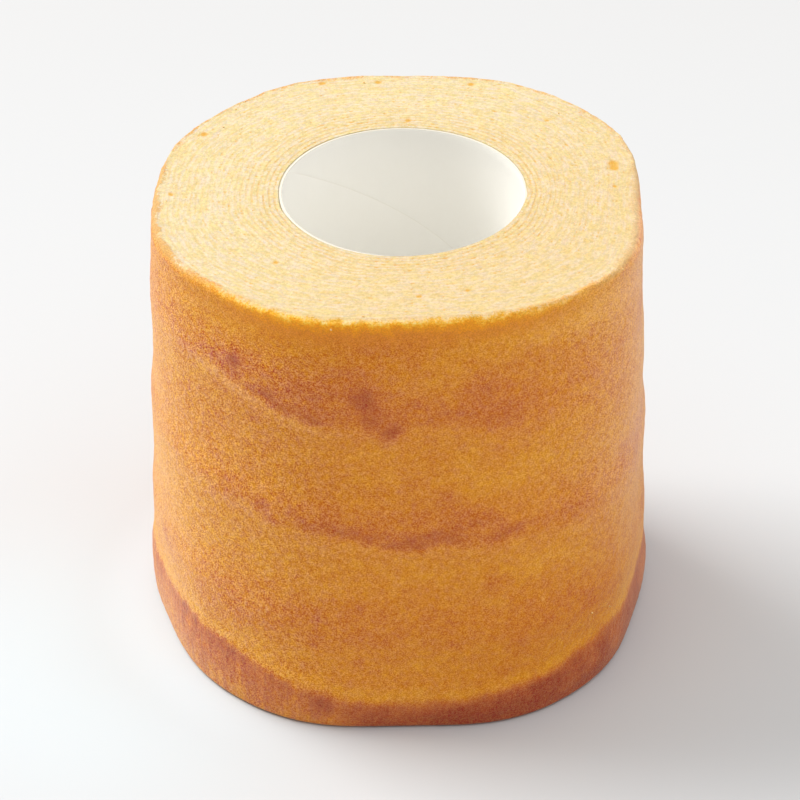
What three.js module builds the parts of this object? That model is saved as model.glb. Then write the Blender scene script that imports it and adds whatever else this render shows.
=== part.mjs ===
// A tall baumkuchen: a ring cake baked in many thin layers round a white paper tube, standing on a cut end.
// Millimetres, +Z up, origin under the middle of the cake on the surface it stands on, front towards -Y.
import * as THREE from "three";

// Driving dimensions
const CAKE_HEIGHT = 147;
const TOP_RADIUS = 75.7; // mean radius of the cut face on top
const BASE_RADIUS = 77.3; // the cake is a little wider at the end it stands on
const BASE_EDGE = 4; // rounding of the edge at the foot
const CORE_INNER_RADIUS = 37.2;
const CORE_WALL = 1;
const CORE_CLEARANCE = 0.3; // gap between the tube and the cake
const CORE_SINK = 0.6; // the tube's rim lies this far below the cut face
const HOLE_OFFSET = new THREE.Vector2(1.05, 3.55); // the tube stands off the middle of the cake's outline

// The outline is a circle with a few broad lobes: count round the cake, height, and bearing of a lobe's peak.
// Bearings are in degrees from +X towards +Y.
const TOP_LOBES = [
  { count: 1, height: 0.53, bearing: 86 },
  { count: 2, height: 1.64, bearing: 9 },
  { count: 3, height: 0.96, bearing: -37 },
  { count: 4, height: 1.68, bearing: -44 },
  { count: 5, height: 0.66, bearing: -30 },
  { count: 6, height: 0.24, bearing: 23 },
  { count: 8, height: 0.66, bearing: 22 },
];
const BASE_LOBES = [
  { count: 2, height: 1.13, bearing: -2 },
  { count: 3, height: 1.53, bearing: 31 },
  { count: 4, height: 1.6, bearing: -44 },
  { count: 5, height: 0.93, bearing: 20 },
  { count: 6, height: 0.42, bearing: 2 },
  { count: 9, height: 0.45, bearing: -28 },
];

// Low ridges run round the wall where the batter gathered. Each crest tilts across the cake and is highest at
// the stated bearing. The ridge fades over one distance above its crest and another below it.
const RIDGES = [
  { height: 109, tilt: 13, bearing: -165, rise: 0.6, above: 10, below: 13 },
  { height: 74, tilt: 6, bearing: -170, rise: 0.75, above: 5, below: 13 },
  { height: 36, tilt: 4, bearing: 180, rise: 0.55, above: 6, below: 9 },
  { height: 12.5, tilt: 2.5, bearing: 180, rise: 0.85, above: 4.5, below: 10 },
];
const RIDGE_DATUM = 0.3; // mean height of the ridges, taken off so that they stand about the mean radius

// Fineness of the facets
const SIDES = 96;
const WALL_STEPS = 36;
const EDGE_STEPS = 3;

const CORE_OUTER_RADIUS = CORE_INNER_RADIUS + CORE_WALL;
const HOLE_RADIUS = CORE_OUTER_RADIUS + CORE_CLEARANCE;

const crumb = new THREE.MeshStandardMaterial({ name: "cake", color: 0xc98436, roughness: 0.75 });
const paper = new THREE.MeshStandardMaterial({ name: "paper", color: 0xf1eee4, roughness: 0.6 });

/** Radius of an outline with these lobes at a bearing in radians. */
function outlineRadius(meanRadius, lobes, bearing) {
  return lobes.reduce(
    (radius, lobe) =>
      radius + lobe.height * Math.cos(lobe.count * (bearing - THREE.MathUtils.degToRad(lobe.bearing))),
    meanRadius,
  );
}

/** How far one ridge stands out of the wall at a bearing and height. */
function ridgeRise(ridge, bearing, height) {
  const crest = ridge.height + ridge.tilt * Math.cos(bearing - THREE.MathUtils.degToRad(ridge.bearing));
  const fade = height > crest ? ridge.above : ridge.below;
  return ridge.rise * Math.exp(-(((height - crest) / fade) ** 2));
}

/** How far the rounded edge at the foot draws the wall in at a height. */
function footInset(height) {
  const below = THREE.MathUtils.clamp(BASE_EDGE - height, 0, BASE_EDGE);
  return BASE_EDGE - Math.sqrt(BASE_EDGE ** 2 - below ** 2);
}

/** Radius of the cake's outer wall, from the middle of its outline. */
function wallRadius(bearing, height) {
  const base = outlineRadius(BASE_RADIUS, BASE_LOBES, bearing);
  const top = outlineRadius(TOP_RADIUS, TOP_LOBES, bearing);
  const ridges = RIDGES.reduce((sum, ridge) => sum + ridgeRise(ridge, bearing, height), -RIDGE_DATUM);
  return THREE.MathUtils.lerp(base, top, height / CAKE_HEIGHT) + ridges - footInset(height);
}

/** Heights of the wall's rows of vertices: an arc round the edge at the foot, then even steps. */
function wallHeights() {
  const quarter = Math.PI / 2;
  const arc = Array.from(
    { length: EDGE_STEPS },
    (_, i) => BASE_EDGE * (1 - Math.cos((i / EDGE_STEPS) * quarter)),
  );
  const rise = CAKE_HEIGHT - BASE_EDGE;
  const wall = Array.from({ length: WALL_STEPS + 1 }, (_, i) => BASE_EDGE + (rise * i) / WALL_STEPS);
  return [...arc, ...wall];
}

/** A closed profile turned about +Z. */
function turned(profile) {
  return new THREE.LatheGeometry([...profile, profile[0].clone()], SIDES).rotateX(Math.PI / 2);
}

/** The cake: a turned ring whose outer wall is then moved out to its own uneven radius. */
function cakeGeometry() {
  const wall = wallHeights().map((height) => new THREE.Vector2(TOP_RADIUS, height));
  const hole = [new THREE.Vector2(HOLE_RADIUS, CAKE_HEIGHT), new THREE.Vector2(HOLE_RADIUS, 0)];
  const geometry = turned([...wall, ...hole]);
  const middleRadius = (HOLE_RADIUS + TOP_RADIUS) / 2;
  const position = geometry.getAttribute("position");
  const point = new THREE.Vector3();
  for (let i = 0; i < position.count; i++) {
    point.fromBufferAttribute(position, i);
    const bearing = Math.atan2(point.y, point.x);
    if (Math.hypot(point.x, point.y) > middleRadius) {
      const radius = wallRadius(bearing, point.z);
      point.setX(radius * Math.cos(bearing)).setY(radius * Math.sin(bearing));
    } else {
      point.setX(point.x + HOLE_OFFSET.x).setY(point.y + HOLE_OFFSET.y);
    }
    position.setXYZ(i, point.x, point.y, point.z);
  }
  geometry.computeVertexNormals();
  return geometry;
}

/** The paper tube that the cake was baked on, open at both ends. */
function coreGeometry() {
  const rim = CAKE_HEIGHT - CORE_SINK;
  return turned([
    new THREE.Vector2(CORE_INNER_RADIUS, 0),
    new THREE.Vector2(CORE_OUTER_RADIUS, 0),
    new THREE.Vector2(CORE_OUTER_RADIUS, rim),
    new THREE.Vector2(CORE_INNER_RADIUS, rim),
  ]);
}

const baumkuchen = new THREE.Group();
baumkuchen.name = "baumkuchen";

const cake = new THREE.Mesh(cakeGeometry(), crumb);
cake.name = "cake";

const core = new THREE.Mesh(coreGeometry(), paper);
core.name = "paper_core";
core.position.set(HOLE_OFFSET.x, HOLE_OFFSET.y, 0);

baumkuchen.add(cake, core);

// The uneven outline is centred over the origin.
const middle = new THREE.Box3().setFromObject(cake).getCenter(new THREE.Vector3());
baumkuchen.position.set(-middle.x, -middle.y, 0);

export default baumkuchen;
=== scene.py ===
import math
from collections import namedtuple

import bmesh
import bpy
import numpy as np
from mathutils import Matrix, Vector, noise
from mathutils.bvhtree import BVHTree


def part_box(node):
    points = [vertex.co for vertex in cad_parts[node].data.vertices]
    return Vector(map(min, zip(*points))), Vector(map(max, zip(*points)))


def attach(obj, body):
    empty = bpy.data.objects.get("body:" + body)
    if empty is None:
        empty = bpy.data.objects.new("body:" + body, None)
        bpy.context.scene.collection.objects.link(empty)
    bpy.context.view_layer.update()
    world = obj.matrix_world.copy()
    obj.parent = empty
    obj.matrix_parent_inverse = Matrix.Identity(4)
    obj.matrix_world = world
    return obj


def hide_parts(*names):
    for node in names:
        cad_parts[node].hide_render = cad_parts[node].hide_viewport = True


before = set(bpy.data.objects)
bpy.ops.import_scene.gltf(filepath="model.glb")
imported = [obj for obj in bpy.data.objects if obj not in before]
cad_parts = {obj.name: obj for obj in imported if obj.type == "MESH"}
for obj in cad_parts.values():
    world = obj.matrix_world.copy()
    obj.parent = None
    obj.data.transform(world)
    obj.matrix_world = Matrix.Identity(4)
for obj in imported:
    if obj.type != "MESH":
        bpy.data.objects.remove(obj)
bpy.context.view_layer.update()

MM = 0.001
SEED = 7

Glow = namedtuple("Glow", "bearing elevation strength")
Band = namedtuple("Band", "edge fade ledge")
Patch = namedtuple("Patch", "bearing height half_width half_height strength")
Speck = namedtuple("Speck", "x y radius")
Gap = namedtuple("Gap", "bearing half_width depth")

# Camera: a long lens that looks down on the front
CAMERA_DISTANCE = 2000
CAMERA_BEARING = -90
CAMERA_ELEVATION = 33.36
CAMERA_TARGET = (0.24, 0.25, 72.4)
FOCAL_PIXELS = 6414  # focal length in pixels of a picture 800 wide
PICTURE_WIDTH = 800
SENSOR_WIDTH = 36
CLIP_START = 100
CLIP_END = 100000

# Light: a large soft box at the back left, in a pale room that is brighter on some sides
KEY_BEARING = 151.5
KEY_ELEVATION = 46
KEY_DISTANCE = 7000
KEY_SIZE = 4000
KEY_WATTS = 500
ROOM_BRIGHTNESS = 0.02
ROOM_GLOWS = (
    Glow(bearing=0, elevation=20, strength=0.54),
    Glow(bearing=-90, elevation=50, strength=0.05),
    Glow(bearing=0, elevation=90, strength=1.08),
)

# Floor: painted shade darkens it a little towards the back. Painted cool light makes it cooler in colour
# where the cake throws warm light on it, and painted light makes it brighter close to the foot on the
# bright side. A reach is where a tint begins and where it is full.
FLOOR_SIZE = 12000
FLOOR_COLOURS = ((0.573, 0.584, 0.589, 1), (0.581, 0.592, 0.597, 1))
BACK_REACH = (0, 600)
BACK_PAINTED_SHADE_TINT = (0.92, 0.89, 0.87)
WARM_PLACE = (-90, -40, 0)
WARM_REACH = (110, 20)  # from the warm place
PAINTED_COOL_LIGHT_TINT = (1.035, 1.11, 1.14)
PAINTED_LIGHT_REACH = (100, 80)  # from the frame's axis
PAINTED_LIGHT_SIDE_REACH = (-30, -70)  # along X
PAINTED_LIGHT_TINT = (1.07, 1.09, 1.10)

# Fineness of the meshes
AROUND = 432
WALL_STEP = 1.25
SECTION_STEP = 2.0  # height between the levels where the solid's wall is measured
FOOT_ROWS = 6
RIM_ROWS = 10
CUT_ROWS = 84
UNDERSIDE_ROWS = 12
HOLE_ROWS = 8
TUBE_AROUND = 288
TUBE_SIDE_ROWS = 16  # rows from the tube's seam to each rim

# Form of the cake that is finer than the solid
FOOT_EDGE = 1.8  # rounding at the foot, tighter than the solid's
BELLY = 0.4  # the wall swells by this much at half height
FACET_BLUR = 2.5  # the solid's flat facets are smoothed over about this distance
LAYERS = 22
LAYER_STEP = 1.7  # mean distance between layers
LAYER_RELIEF = 0.05
CRUMB_RELIEF = 0.16
PIT_COUNT = 640
PIT_SIZES = (0.28, 0.55)
PIT_CROWDING = 1.8  # above 1 the pits lie closer together near the tube
PIT_DEPTH = 0.4
PORE_SHARE = 0.65  # depth of the small pores as a share of the specks' depth
PAINTED_GLOW_HEIGHT = 11.0  # painted glow: the clear orange begins this far below the cut edge
FOOT_SKIN = 4.0  # the skin reaches this far under the foot
EASE_ANGLE = 3  # values given by bearing are eased over about this angle
RAGGED_HEIGHT = 2.5  # the nicks in the cut edge fade out over about this distance
PAINTED_GLOW_REACH = 30  # no painted glow of clear skin further below the cut edge than about this
PAINTED_GLOW_BLUR = 20

# The cut edge on top. The points are bearing, rounding, how far the skin reaches over the edge, and how
# clear an orange the skin is just below it, which is painted glow of light let out by the edge.
RIM = (
    (-175, 2.2, 0.4, 0.1), (-155, 2.6, 0.4, 0.15), (-140, 2.4, 0.2, 0.35), (-130, 2.2, 0.0, 0.75),
    (-120, 2.2, 0.0, 0.95), (-105, 2.2, 0.0, 1.0), (-68, 2.2, 0.0, 0.9), (-58, 1.8, 0.0, 0.75),
    (-49, 1.0, -0.1, 0.6), (-40, 1.0, -0.1, 0.35), (-32, 2.0, 0.4, 0.2), (-24, 3.2, 1.5, 0.1),
    (-11, 3.6, 1.6, 0.1), (1, 3.0, 1.2, 0.1), (8, 2.0, 0.3, 0.1), (18, 1.0, -0.2, 0.1),
    (40, 0.6, -0.6, 0.2), (90, 0.5, -0.8, 0.3), (140, 0.5, -0.8, 0.3), (165, 0.8, -0.5, 0.2),
    (178, 1.7, 0.2, 0.15),
)

# Browned bands round the wall. The points of an edge are bearing, height, strength and blur. A band
# begins at its edge and fades upwards. The wall stands out by its ledge just below the edge.
BROWN_BANDS = (
    Band(fade=11, ledge=0.24, edge=(
        (-165, 122, 0.02, 5), (-148, 123, 0.10, 4), (-138, 121.5, 0.20, 2.5), (-130, 118.5, 0.24, 2),
        (-122, 115, 0.22, 2), (-116, 112.5, 0.21, 2.5), (-109, 110.5, 0.21, 3), (-102, 111, 0.20, 5),
        (-96, 109.5, 0.20, 4), (-92, 107, 0.20, 3), (-87, 110, 0.16, 5), (-78, 111.5, 0.15, 6),
        (-70, 109, 0.14, 7), (-62, 109, 0.13, 8), (-54, 112, 0.08, 9), (-40, 113, 0.05, 9),
        (-25, 114, 0.04, 9), (40, 116, 0.12, 6), (100, 118, 0.18, 3), (150, 119, 0.12, 4),
    )),
    Band(fade=12, ledge=0.12, edge=(
        (-165, 74, 0.02, 6), (-150, 76, 0.04, 5), (-138, 77, 0.08, 4), (-128, 76.5, 0.12, 3),
        (-123, 75.5, 0.16, 2.5), (-118, 72.5, 0.14, 3), (-112, 72, 0.16, 3), (-104, 70.5, 0.20, 3),
        (-97, 68.5, 0.22, 3), (-92, 66.5, 0.22, 2.5), (-86, 66.8, 0.22, 2.5), (-77, 66.8, 0.22, 3),
        (-70, 67.5, 0.18, 4), (-64, 67.5, 0.16, 4), (-58, 68.5, 0.10, 6), (-48, 66, 0.10, 8),
        (-35, 66, 0.08, 8), (-22, 68, 0.05, 8), (60, 76, 0.16, 4), (140, 74, 0.14, 4),
    )),
    Band(fade=14, ledge=0.06, edge=(
        (-160, 36, 0.02, 6), (-135, 33, 0.08, 6), (-110, 31, 0.10, 6), (-90, 30, 0.08, 7),
        (-60, 28, 0.09, 7), (-35, 30, 0.08, 7), (60, 36, 0.08, 6), (120, 34, 0.08, 6),
    )),
)
LEDGE_STRENGTH = 0.2  # where a band is at least this strong, its ledge is full
LEDGE_BLUR = 4
LEDGE_FADE = 9

# The points of the base are bearing, height, strength, blur and how streaky it is.
BASE_BAND = (
    (-170, 20, 0.42, 2, 1), (-156, 20.3, 0.54, 2, 1), (-147, 21.4, 0.58, 2, 1), (-137, 20.7, 0.58, 2.2, 1),
    (-127, 18.6, 0.54, 2.4, 1), (-119, 16, 0.40, 3, 0.9), (-112, 13.7, 0.28, 3, 0.8),
    (-106, 11.4, 0.28, 4, 0.5), (-99, 9.8, 0.40, 4.5, 0.2), (-93, 9.6, 0.52, 4.5, 0.2),
    (-83, 9.8, 0.58, 4.5, 0.2), (-74.5, 9.6, 0.58, 5, 0.2), (-68, 11, 0.60, 5, 0.2),
    (-61.6, 13.4, 0.60, 5, 0.3), (-52, 13.6, 0.62, 5, 0.3), (-44, 16.2, 0.58, 4.5, 0.3),
    (-34.5, 17, 0.62, 4.5, 0.3), (-23, 16.6, 0.64, 4, 0.4), (30, 20, 0.5, 4, 0.4), (90, 18, 0.42, 3, 0.6),
    (140, 18, 0.34, 2.5, 0.8),
)
STREAKY_FADE = 14  # where the base is streaky, it fades downwards over this distance
PALE_LINE_RISE = 3.0  # the middle of the paler line above the base
PALE_LINE_WIDTH = 2.4
PALE_LINE_STRENGTH = 0.14
# The lowest few millimetres, by bearing: paler than the band on the left, partly painted light from the
# floor, and darker elsewhere, partly browning and partly painted contact shade by the floor
FOOT_BROWNING_AND_PAINTED_LIGHT = (
    (-175, -0.08), (-112, -0.10), (-105, -0.02), (-95, 0.18), (-78, 0.24), (-60, 0.32), (-45, 0.20),
    (-30, 0.28), (0, 0.22), (90, 0.1), (150, 0),
)
FOOT_SHADE_HEIGHT = 6
PLAIN_SHADE = 0.28

# The skin has pale grains of dust, most of all at the left, where the extra grain is painted glints of
# the key light grazing that side. A pale bloom lies on the right, and a fainter one on the left, mostly
# painted sheen at a grazing angle. The points of both are bearing and the value near the cut edge, near
# the top and near the base. Where the bloom is negative, the skin is deeper in colour.
DUST_AND_GLINTS = (
    (-170, 1.0, 1.0, 1.0), (-157, 0.9, 1.0, 1.0), (-146, 0.6, 1.0, 1.0), (-138, 0.5, 0.95, 0.9),
    (-125, 0.4, 0.75, 0.75), (-100, 0.34, 0.36, 0.36), (-60, 0.36, 0.36, 0.25), (-40, 0.6, 0.6, 0.3),
    (-20, 0.7, 0.7, 0.4), (0, 0.7, 0.7, 0.5), (90, 0.7, 0.7, 0.7), (150, 0.9, 0.9, 0.9),
)
BLOOM_AND_SHEEN = (
    (-170, 0.05, 0.08, 0.08), (-145, 0.0, 0.03, 0.05), (-125, -0.04, 0.02, 0.02), (-100, -0.025, 0.0, 0.0),
    (-70, -0.01, 0.0, -0.01), (-48, 0.04, 0.01, -0.04), (-36, 0.10, 0.08, -0.08), (-22, 0.26, 0.17, -0.08),
    (-10, 0.29, 0.19, -0.03), (30, 0.16, 0.12, 0.02), (90, 0.05, 0.05, 0.04), (150, 0.05, 0.06, 0.06),
)
UPPER_HEIGHT = 50  # the values go from those of the base to those of the top round this height
UPPER_BLUR = 70
EDGE_HEIGHT = 132  # and round this one to those of the cut edge
EDGE_BLUR = 14

# Darker patches where the batter caught more heat, and paler ones with a negative strength, in the
# order of a patch's values. The small paler row under the first band's edge on the left is a painted
# highlight along its lit ledge.
BROWN_AND_PAINTED_HIGHLIGHT_PATCHES = tuple(Patch(*values) for values in (
    (-130.6, 126, 2.8, 2.8, 0.52), (-129.8, 119.8, 2.2, 2.0, 0.16), (-122, 117.1, 2.8, 1.5, 0.24),
    (-119.3, 113.9, 2.4, 1.5, 0.22), (-112, 113.1, 2.8, 1.5, 0.17), (-109.4, 111.4, 2.4, 1.5, 0.16),
    (-97.8, 119.2, 3.6, 4.0, 0.42), (-96.6, 111.5, 2.6, 2.4, 0.16), (-92.0, 108, 3.4, 2.8, 0.50),
    (-104, 123, 13, 7, 0.16), (-116, 121, 9, 5, 0.10), (-82, 116, 12, 5, 0.12),
    (-70, 122, 6, 4, 0.16), (-66, 114, 8, 5, 0.12), (-91.6, 139, 12, 5, 0.12),
    (-140, 138, 18, 9, -0.20), (-146, 121, 6, 4, 0.15), (-20, 72, 5, 9, 0.17),
    (-28, 77, 5, 5, 0.20), (-43, 140, 13, 6, -0.32), (-60, 138, 14, 5, -0.16),
    # painted highlight along the first band's lit ledge: the last two patches here and all of the next
    # line
    (-124, 140, 9, 5, -0.08), (-136.5, 118.4, 4, 1.8, -0.08), (-129.8, 116, 4, 1.6, -0.08),
    (-123.8, 113.2, 4, 1.6, -0.08), (-118, 110.8, 4, 1.6, -0.07), (-112.4, 109.2, 4, 1.6, -0.06),
    (-126, 26, 9, 4, -0.12), (-86.8, 109.9, 1.6, 1.6, -0.22), (-123.2, 77.3, 2.8, 2.6, 0.22),
    (-120.3, 73.8, 2.6, 1.6, 0.14), (-110, 74.3, 4, 2.2, 0.12), (-103.5, 73.4, 3.5, 2.2, 0.10),
    (-96.6, 70.9, 3.5, 2.0, 0.12), (-92.4, 67.6, 2.2, 1.6, 0.18), (-88, 69.3, 3.5, 2, 0.10),
    (-77.3, 69.2, 6, 2.2, 0.17), (-73, 76.5, 5, 3.5, 0.14), (-78, 84.6, 3.5, 3, 0.13),
    (-66.6, 69.2, 2.6, 2.4, 0.15), (-62.8, 71.3, 3.2, 1.8, 0.20), (-67.8, 76, 3, 2.5, 0.10),
    (-48.6, 70, 9, 4, 0.08), (-67.8, 52.6, 4, 2, 0.15), (-38, 37, 5, 3, 0.06),
    (-47, 34, 9, 6, 0.04), (-47, 6, 3, 4, -0.12), (-40, 9, 3, 3, -0.14),
    (-77, 40, 4, 3, 0.08), (-99.2, 44.2, 2, 1.6, 0.14), (-110.5, 40, 5, 4, 0.10),
    (-140, 33, 4, 5, 0.10), (-52, 56, 9, 5, -0.08), (-69, 89.4, 12, 5, -0.10),
    (-41, 49, 8, 6, -0.06), (-75, 57, 30, 6, -0.08), (-58, 95, 22, 8, -0.09),
    (-135, 58, 26, 9, -0.06), (-158, 60, 55, 60, -0.10), (-107.6, 8.7, 3.2, 3.2, 0.46),
    (-109.5, 12.5, 3, 3, 0.12), (-35.2, 10.5, 3.5, 4, 0.24), (-52.2, 8.7, 2.6, 2.6, 0.36),
    (-55.7, 5.4, 3.5, 3, 0.18), (-61.2, 5.7, 3.5, 2.4, 0.14),
))
SEEN_BEARINGS = (-160, -20)  # the patches above lie here, and the rest of the wall gets patches by a rule
HIDDEN_PATCHES = 30
HIDDEN_RISE = 9  # they lie up to this far above a band's edge
HIDDEN_WIDTHS = (4, 9)
HIDDEN_FLATNESS = 0.6
HIDDEN_STRENGTHS = (0.10, 0.24)

# Larger orange specks on the cut face: x, y and radius
SPECKS = tuple(Speck(*values) for values in (
    (65.8, 20.0, 1.7), (66.1, 17.4, 1.6), (66.0, 6.4, 0.8), (-24.3, 68.4, 1.2), (-6.7, 69.0, 1.1),
    (22.5, 67.8, 1.1), (2.7, 45.8, 1.0), (-60.6, 37.3, 1.3), (-69.8, 1.7, 1.0), (5.9, -56.4, 0.9),
    (20.5, -53.1, 0.8), (-37.1, -37.4, 0.9), (45.9, 45.8, 0.8),
))

# The crumb reaches over the tube's rim. The points are bearing, reach over the rim and height above it.
CRUMB_LIP = (
    (-180, 0.14, 0.10), (-150, 0.12, 0.10), (-125, 0.12, 0.10), (-105, 0.18, 0.20), (-90, 0.45, 0.35),
    (-60, 0.80, 0.55), (-20, 0.75, 0.55), (10, 0.45, 0.30), (40, 0.40, 0.12), (90, 0.45, 0.10),
    (140, 0.20, 0.10),
)
LIP_SLOPE = 4.0  # the crumb's face eases to the lip's height over about this distance
LIP_CLEARANCE = 0.04  # between the crumb and the tube
LIP_RAGGEDNESS = 0.10
RIM_SHOWN = 0.05  # at least this much of the tube's rim stays bare
TUBE_GAPS = (
    Gap(bearing=-165, half_width=7, depth=0.45),
    Gap(bearing=-3, half_width=5, depth=0.30),
)

# The paper tube's seam is a helix that drops as the bearing falls.
SEAM_TOP_BEARING = 161.6
SEAM_PITCH = 156
SEAM_HALF_WIDTH = 0.4
SEAM_DEPTH = 0.07
# Places across the seam and depths there, as shares of the half width and of the depth
SEAM_PROFILE = ((1, 0), (0.5, 0.15), (0.2, 0.75), (0, 1), (-0.2, 0.75), (-0.5, 0.15), (-1, 0))
SEAM_MARGIN = 2.0  # the seam stays this far from the tube's ends
SEAM_FADE = 12  # the groove fades out over this angle at its ends
TUBE_RIM_EDGE = 0.2

# Loose crumbs: some at these bearings and heights on the wall, the rest by a rule near the cut edge
WALL_CRUMBS = ((-106, 144), (-31, 146), (-33, 23.8), (-40.6, 27.5))
EDGE_CRUMBS = 7
EDGE_CRUMB_INSETS = (0.5, 9)
CRUMB_SIZES = (0.2, 0.4)
CRUMB_STRETCHES = (0.7, 1.3)
CRUMB_UNEVENNESS = 0.35
CRUMB_STAND = 0.5  # the middle stands out of the surface by this share of the size

# Colours of the skin, by how brown it is
SKIN_COLOURS = (
    (0.00, (0.865, 0.376, 0.040, 1)),
    (0.14, (0.807, 0.325, 0.030, 1)),
    (0.28, (0.749, 0.272, 0.030, 1)),
    (0.45, (0.675, 0.209, 0.036, 1)),
    (0.60, (0.607, 0.171, 0.039, 1)),
    (0.80, (0.522, 0.128, 0.034, 1)),
    (1.00, (0.411, 0.083, 0.026, 1)),
)
GRAIN_TINT = (0.35, 0.34, 0.105)  # how much paler the palest grains are than the darkest
FLECK_TINT = (0.06, 0.13, 0.36)  # the same for the flecks
BLOOM_AND_SHEEN_TINT = (0.50, 0.55, 0.57)  # what the full bloom and painted sheen adds

# Colours over the cut edge where it is clear, from this far below the edge to this far past it. The
# clear orange is painted glow of light let out by the edge.
EDGE_SPAN = (-5.0, 1.5)
EDGE_COLOURS = (
    (0.06, (0.388, 0.128, 0.010, 1)),
    (0.28, (0.430, 0.156, 0.005, 1)),
    (0.40, (0.450, 0.162, 0.004, 1)),
    (0.51, (0.477, 0.197, 0.006, 1)),
    (0.61, (0.510, 0.244, 0.015, 1)),
    (0.71, (0.560, 0.316, 0.046, 1)),
    (0.81, (0.600, 0.400, 0.132, 1)),
    (0.92, (0.605, 0.434, 0.206, 1)),
)
TOAST = (0.585, 0.315, 0.092)  # the skin where it turns over the rest of the cut edge
TOAST_BLOOM_AND_SHEEN_TINT = (0.0, 0.30, 0.38)  # what the full bloom and painted sheen adds to it

# Colours of the crumb
CRUMB_COLOURS = ((0.621, 0.496, 0.226, 1), (0.631, 0.517, 0.362, 1))
THREAD_COLOUR = (0.588, 0.417, 0.149, 1)
RING_COLOUR = (0.590, 0.375, 0.135, 1)
PORE_COLOUR = (0.600, 0.312, 0.036, 1)
FRONT_PAINTED_SHADE_REACH = (-45, 75)  # painted shade: the crumb is deeper in colour towards the front right, away from the light
FRONT_PAINTED_SHADE_TINT = (0.98, 0.925, 0.86)
LOOSE_CRUMB_COLOURS = ((0.3, (0.80, 0.47, 0.15, 1)), (0.7, (0.88, 0.62, 0.30, 1)))

# Colours of the paper
PAPER_COLOURS = ((0.985, 0.966, 0.910, 1), (0.975, 0.952, 0.892, 1))
PAPER_CLOUD_COLOUR = (0.975, 0.953, 0.890, 1)
SEAM_COLOUR = (0.80, 0.74, 0.64, 1)
PAPER_RIM_COLOUR = (0.70, 0.65, 0.55, 1)


def direction(bearing):
    """Unit vector in the plane of the floor."""
    return np.stack([np.cos(np.radians(bearing)), np.sin(np.radians(bearing))], axis=-1)


def noise_at(points, size, shift=0.0):
    """Smooth noise from -1 to 1 at these points, with features of about this size."""
    scaled = np.asarray(points, float).reshape(-1, 3) / size + shift
    values = [noise.noise(Vector(place)) for place in scaled]
    return np.array(values).reshape(np.shape(points)[:-1])


def summed_noise(points, *parts):
    """Sum of noises, each given as its height, the size of its features and its shift."""
    return sum(height * noise_at(points, size, shift) for height, size, shift in parts)


def blurred(values, width, axis):
    """Values smoothed along an axis that closes on itself, by a bell curve this many samples wide."""
    reach = int(math.ceil(3 * width))
    kernel = np.exp(-0.5 * (np.arange(-reach, reach + 1) / width) ** 2)
    kernel /= kernel.sum()
    padding = [(0, 0)] * values.ndim
    padding[axis] = (reach, reach)
    padded = np.pad(values, padding, mode="wrap")
    return np.apply_along_axis(lambda line: np.convolve(line, kernel, "valid"), axis, padded)


def step_up(distance, width):
    """Smooth step from 0 to 1 across a distance of 0."""
    share = np.clip(distance / width + 0.5, 0, 1)
    return share ** 2 * (3 - 2 * share)


def bell(distance, width):
    """Bell curve that is 1 at a distance of 0 and about a third at this width."""
    return np.exp(-((distance / width) ** 2))


def turn_between(bearings, middle):
    """Turn from a bearing to others, from -180 to 180."""
    return (bearings - middle + 180) % 360 - 180


def mesh_tree(mesh):
    """The faces of a mesh, for casting rays at them."""
    corners = [vertex.co.copy() for vertex in mesh.vertices]
    return BVHTree.FromPolygons(corners, [list(face.vertices) for face in mesh.polygons])


def hit_from_outside(tree, bearing, height):
    """Point and normal where a level ray towards the axis meets a mesh, in metres."""
    far = 0.5
    across, along = direction(bearing)
    outward = Vector((across, along, 0))
    place, normal, _, _ = tree.ray_cast(outward * far + Vector((0, 0, height * MM)), -outward)
    return place, normal


def radius_from_outside(tree, bearings, heights):
    """Distance from the frame's axis to the outside of a node, one row for each height."""
    rows = []
    for height in heights:
        hits = [hit_from_outside(tree, bearing, height)[0] for bearing in bearings]
        rows.append([math.hypot(hit.x, hit.y) / MM for hit in hits])
    return np.array(rows)


def radius_from_axis(tree, axis, height):
    """Distance from an upright axis out to the first face of a node."""
    hit = tree.ray_cast(Vector((axis[0], axis[1], height)) * MM, Vector((1, 0, 0)))
    return hit[3] / MM


def edge_inset(distance, edge):
    """How far a rounded edge draws a face in, at a distance from the corner."""
    short = np.clip(edge - distance, 0, edge)
    return edge - np.sqrt(edge ** 2 - short ** 2)


cake_tree = mesh_tree(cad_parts["cake"].data)
tube_tree = mesh_tree(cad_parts["paper_core"].data)
cake_low, cake_high = (np.array(corner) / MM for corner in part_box("cake"))
tube_low, tube_high = (np.array(corner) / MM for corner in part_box("paper_core"))
CAKE_HEIGHT = cake_high[2]
TUBE_AXIS = (tube_low + tube_high)[:2] / 2
TUBE_OUTER_RADIUS = (tube_high - tube_low)[0] / 2
TUBE_INNER_RADIUS = radius_from_axis(tube_tree, TUBE_AXIS, CAKE_HEIGHT / 2)
HOLE_RADIUS = radius_from_axis(cake_tree, TUBE_AXIS, CAKE_HEIGHT / 2)


def mesh_piece(name, points, faces, material):
    """A smooth mesh object from points in millimetres."""
    mesh = bpy.data.meshes.new(name)
    mesh.from_pydata((np.asarray(points) * MM).tolist(), [], faces)
    mesh.shade_smooth()
    mesh.materials.append(material)
    mesh.validate()
    piece = bpy.data.objects.new(name, mesh)
    bpy.context.scene.collection.objects.link(piece)
    return piece


def ring_faces(rows, columns):
    """Quads of a grid that closes on itself both ways, facing out where rows rise on an outer wall."""
    row, column = np.meshgrid(np.arange(rows), np.arange(columns), indexing="ij")
    next_row = (row + 1) % rows
    next_column = (column + 1) % columns
    corners = [
        row * columns + column,
        row * columns + next_column,
        next_row * columns + next_column,
        next_row * columns + column,
    ]
    return np.stack(corners, axis=-1).reshape(-1, 4).tolist()


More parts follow.
